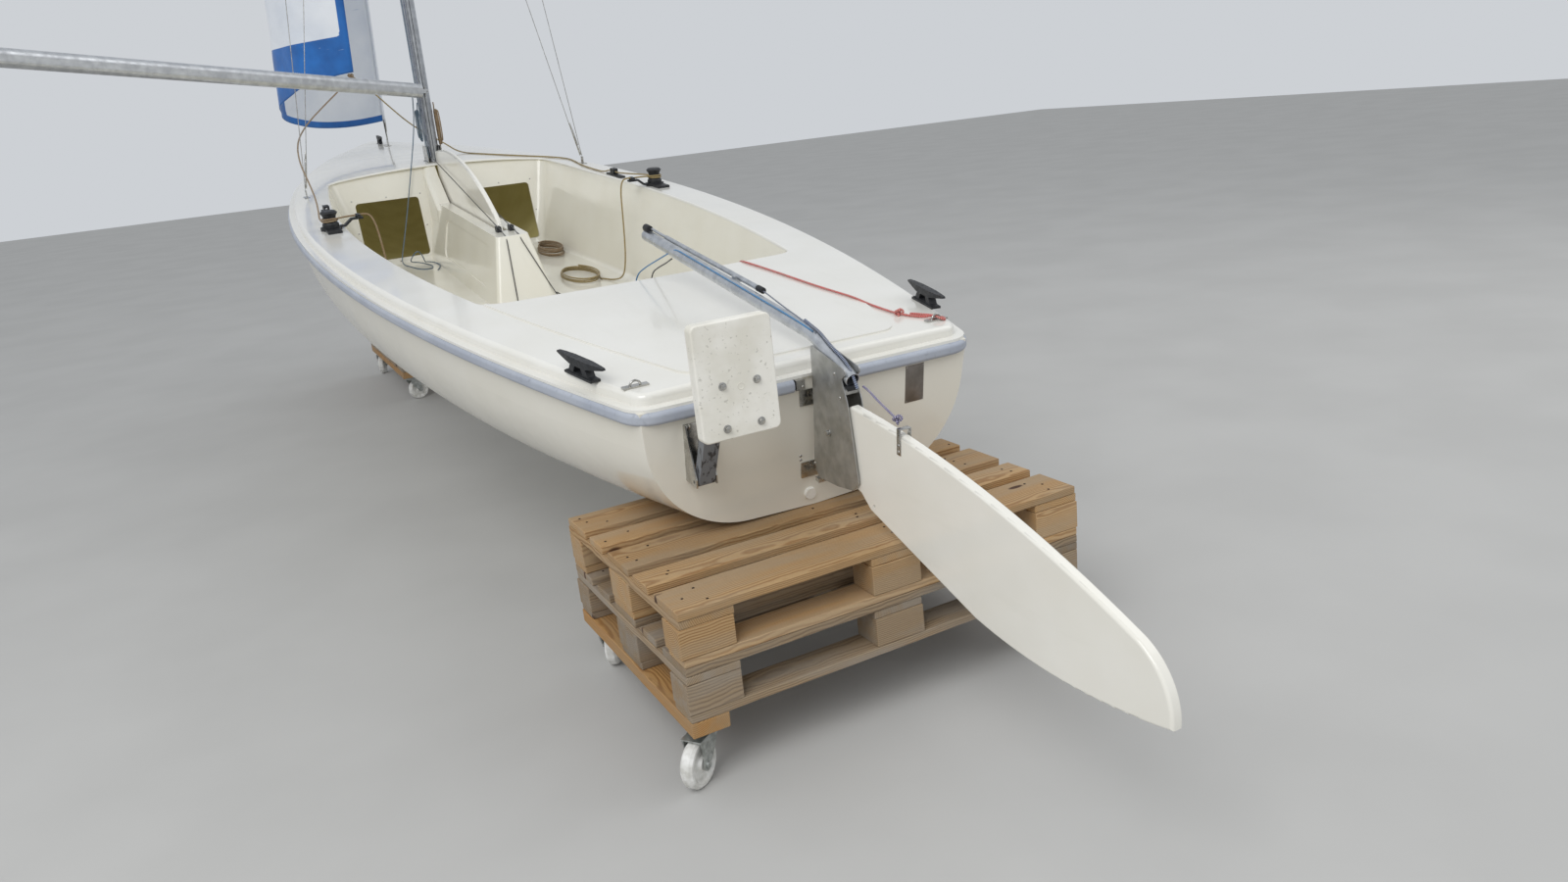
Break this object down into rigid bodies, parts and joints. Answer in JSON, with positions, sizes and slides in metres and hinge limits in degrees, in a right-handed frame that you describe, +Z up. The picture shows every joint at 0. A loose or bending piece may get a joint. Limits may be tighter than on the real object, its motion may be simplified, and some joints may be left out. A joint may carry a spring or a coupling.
{
  "type": "sailing dinghy on castored pallet stacks",
  "caption": "Open sailing dinghy with decked ends, centreboard, lifting rudder, boom and loose jib, chocked on stacked pallets that roll on swivel castors",
  "frame": {"origin": "on the floor, under the middle of the whole object's box", "axes": "X to starboard, Y towards the bow, Z up"},
  "size_m": [3.4953, 7.738, 8.7833],
  "materials": {
    "hull_gelcoat": "glossy ivory gelcoat over glass fibre, with faint scuffs",
    "deck_gelcoat": "glossy white gelcoat over glass fibre",
    "cockpit_gelcoat": "glossy cream gelcoat over glass fibre",
    "board_paint": "white gelcoat, with a bevelled after edge",
    "rail_extrusion": "light grey extruded vinyl with a soft shine",
    "black_nylon": "moulded black nylon",
    "stainless": "polished and drawn stainless steel",
    "anodised": "silver anodised aluminium",
    "extension_carbon": "black tube with a rubber grip",
    "sailcloth": "crisp white sailcloth with a blue edge",
    "blade_gelcoat": "white gelcoat, sanded",
    "arm_paint": "grey painted aluminium, scuffed",
    "pad_plastic": "white moulded plastic",
    "new_wood": "sawn softwood, fairly new",
    "old_wood": "sawn softwood, weathered grey",
    "zinc": "bright zinc plate, a little dull",
    "castor_nylon": "white moulded nylon, scuffed"
  },
  "bodies": {
    "hull": {"hull_shell": "hull_gelcoat", "deck_moulding": "deck_gelcoat", "cockpit_liner": "cockpit_gelcoat", "centreboard_case": "cockpit_gelcoat", "rub_rail": "rail_extrusion", "aft_cleats": "black_nylon", "bow_cleat": "black_nylon", "aft_eye_straps": "stainless", "winch_bases": "stainless", "winch_drums": "black_nylon", "sheet_fairleads": "black_nylon", "chainplates": "stainless", "case_clam_cleats": "black_nylon", "mast": "anodised", "mast_step": "stainless", "spreaders": "anodised", "shrouds": "stainless", "forestay": "stainless", "bow_fitting": "stainless", "jib": "sailcloth", "rudder_gudgeons": "stainless", "transom_latch": "stainless", "drain_plug": "pad_plastic", "outboard_bracket_base": "stainless", "pallet_aft_1": "old_wood", "pallet_aft_2": "new_wood", "pallet_fore_1": "old_wood", "pallet_fore_2": "old_wood", "pallet_fore_3": "old_wood", "pallet_fore_4": "new_wood", "castor_planks": "new_wood", "castor_plates": "zinc"},
    "toggle": {"gooseneck_toggle": "stainless"},
    "boom": {"boom": "anodised"},
    "centreboard": {"centreboard": "board_paint"},
    "rudder": {"rudder_pintles": "stainless", "rudder_cheeks": "anodised", "tiller": "anodised", "tiller_extension": "extension_carbon", "blade_bolt": "stainless"},
    "blade": {"rudder_blade": "blade_gelcoat"},
    "bracket_arm": {"outboard_arm": "arm_paint"},
    "bracket_pad": {"outboard_pad": "pad_plastic"},
    "fork_1": {"castor_fork_1": "zinc"},
    "wheel_1": {"castor_wheel_1": "castor_nylon"},
    "fork_2": {"castor_fork_2": "zinc"},
    "wheel_2": {"castor_wheel_2": "castor_nylon"},
    "fork_3": {"castor_fork_3": "zinc"},
    "wheel_3": {"castor_wheel_3": "castor_nylon"},
    "fork_4": {"castor_fork_4": "zinc"},
    "wheel_4": {"castor_wheel_4": "castor_nylon"},
    "fork_5": {"castor_fork_5": "zinc"},
    "wheel_5": {"castor_wheel_5": "castor_nylon"},
    "fork_6": {"castor_fork_6": "zinc"},
    "wheel_6": {"castor_wheel_6": "castor_nylon"},
    "fork_7": {"castor_fork_7": "zinc"},
    "wheel_7": {"castor_wheel_7": "castor_nylon"},
    "fork_8": {"castor_fork_8": "zinc"},
    "wheel_8": {"castor_wheel_8": "castor_nylon"}
  },
  "joints": [
    {"name": "boom_swing", "type": "hinge", "parent": "hull", "child": "toggle", "pos_m": [0.80666, 1.6063, 1.79907], "axis": [0, -0.1022, 0.9948], "range_deg": [-6, 121]},
    {"name": "boom_lift", "type": "hinge", "parent": "toggle", "child": "boom", "pos_m": [0.80666, 1.6063, 1.79907], "axis": [-0.5344, 0.8408, 0.0864], "range_deg": [-9, 25]},
    {"name": "centreboard_swing", "type": "hinge", "parent": "hull", "child": "centreboard", "pos_m": [0.80666, 1.57584, 0.87211], "axis": [1, 0, 0], "range_deg": [0, 75]},
    {"name": "steering", "type": "hinge", "parent": "hull", "child": "rudder", "pos_m": [0.80666, -2.65438, 0.79758], "axis": [0, -0.1558, 0.9878], "range_deg": [-38, 38]},
    {"name": "blade_lift", "type": "hinge", "parent": "rudder", "child": "blade", "pos_m": [0.80666, -2.72144, 0.72331], "axis": [1, 0, 0], "range_deg": [-15, 2]},
    {"name": "bracket_swing", "type": "hinge", "parent": "hull", "child": "bracket_arm", "pos_m": [0.44866, -2.6452, 0.66236], "axis": [1, 0, 0], "range_deg": [0, 70]},
    {"name": "pad_swing", "type": "hinge", "parent": "bracket_arm", "child": "bracket_pad", "pos_m": [0.44866, -2.77351, 0.905], "axis": [1, 0, 0], "range_deg": [-70, 0]},
    {"name": "castor_swivel_1", "type": "hinge", "parent": "hull", "child": "fork_1", "pos_m": [0.25666, -2.89651, 0.14], "axis": [0, 0, 1], "continuous": true},
    {"name": "castor_roll_1", "type": "hinge", "parent": "fork_1", "child": "wheel_1", "pos_m": [0.22389, -2.91945, 0.0625], "axis": [0.5736, -0.8192, 0], "continuous": true},
    {"name": "castor_swivel_2", "type": "hinge", "parent": "hull", "child": "fork_2", "pos_m": [0.25666, -2.22051, 0.14], "axis": [0, 0, 1], "continuous": true},
    {"name": "castor_roll_2", "type": "hinge", "parent": "fork_2", "child": "wheel_2", "pos_m": [0.27666, -2.18587, 0.0625], "axis": [-0.866, 0.5, 0], "continuous": true},
    {"name": "castor_swivel_3", "type": "hinge", "parent": "hull", "child": "fork_3", "pos_m": [1.35666, -2.89651, 0.14], "axis": [0, 0, 1], "continuous": true},
    {"name": "castor_roll_3", "type": "hinge", "parent": "fork_3", "child": "wheel_3", "pos_m": [1.33095, -2.86587, 0.0625], "axis": [-0.766, -0.6428, 0], "continuous": true},
    {"name": "castor_swivel_4", "type": "hinge", "parent": "hull", "child": "fork_4", "pos_m": [1.35666, -2.22051, 0.14], "axis": [0, 0, 1], "continuous": true},
    {"name": "castor_roll_4", "type": "hinge", "parent": "fork_4", "child": "wheel_4", "pos_m": [1.37666, -2.25515, 0.0625], "axis": [0.866, 0.5, 0], "continuous": true},
    {"name": "castor_swivel_5", "type": "hinge", "parent": "hull", "child": "fork_5", "pos_m": [0.45666, 1.92149, 0.14], "axis": [0, 0, 1], "continuous": true},
    {"name": "castor_roll_5", "type": "hinge", "parent": "fork_5", "child": "wheel_5", "pos_m": [0.49425, 1.93517, 0.0625], "axis": [-0.342, 0.9397, 0], "continuous": true},
    {"name": "castor_swivel_6", "type": "hinge", "parent": "hull", "child": "fork_6", "pos_m": [0.45666, 2.99749, 0.14], "axis": [0, 0, 1], "continuous": true},
    {"name": "castor_roll_6", "type": "hinge", "parent": "fork_6", "child": "wheel_6", "pos_m": [0.44298, 2.9599, 0.0625], "axis": [0.9397, -0.342, 0], "continuous": true},
    {"name": "castor_swivel_7", "type": "hinge", "parent": "hull", "child": "fork_7", "pos_m": [1.15666, 1.92149, 0.14], "axis": [0, 0, 1], "continuous": true},
    {"name": "castor_roll_7", "type": "hinge", "parent": "fork_7", "child": "wheel_7", "pos_m": [1.11907, 1.93517, 0.0625], "axis": [-0.342, -0.9397, 0], "continuous": true},
    {"name": "castor_swivel_8", "type": "hinge", "parent": "hull", "child": "fork_8", "pos_m": [1.15666, 2.99749, 0.14], "axis": [0, 0, 1], "continuous": true},
    {"name": "castor_roll_8", "type": "hinge", "parent": "fork_8", "child": "wheel_8", "pos_m": [1.16361, 3.03688, 0.0625], "axis": [-0.9848, 0.1736, 0], "continuous": true}
  ],
  "couplings": [
    {"joint": "pad_swing", "follows": "bracket_swing", "ratio": -1}
  ]
}
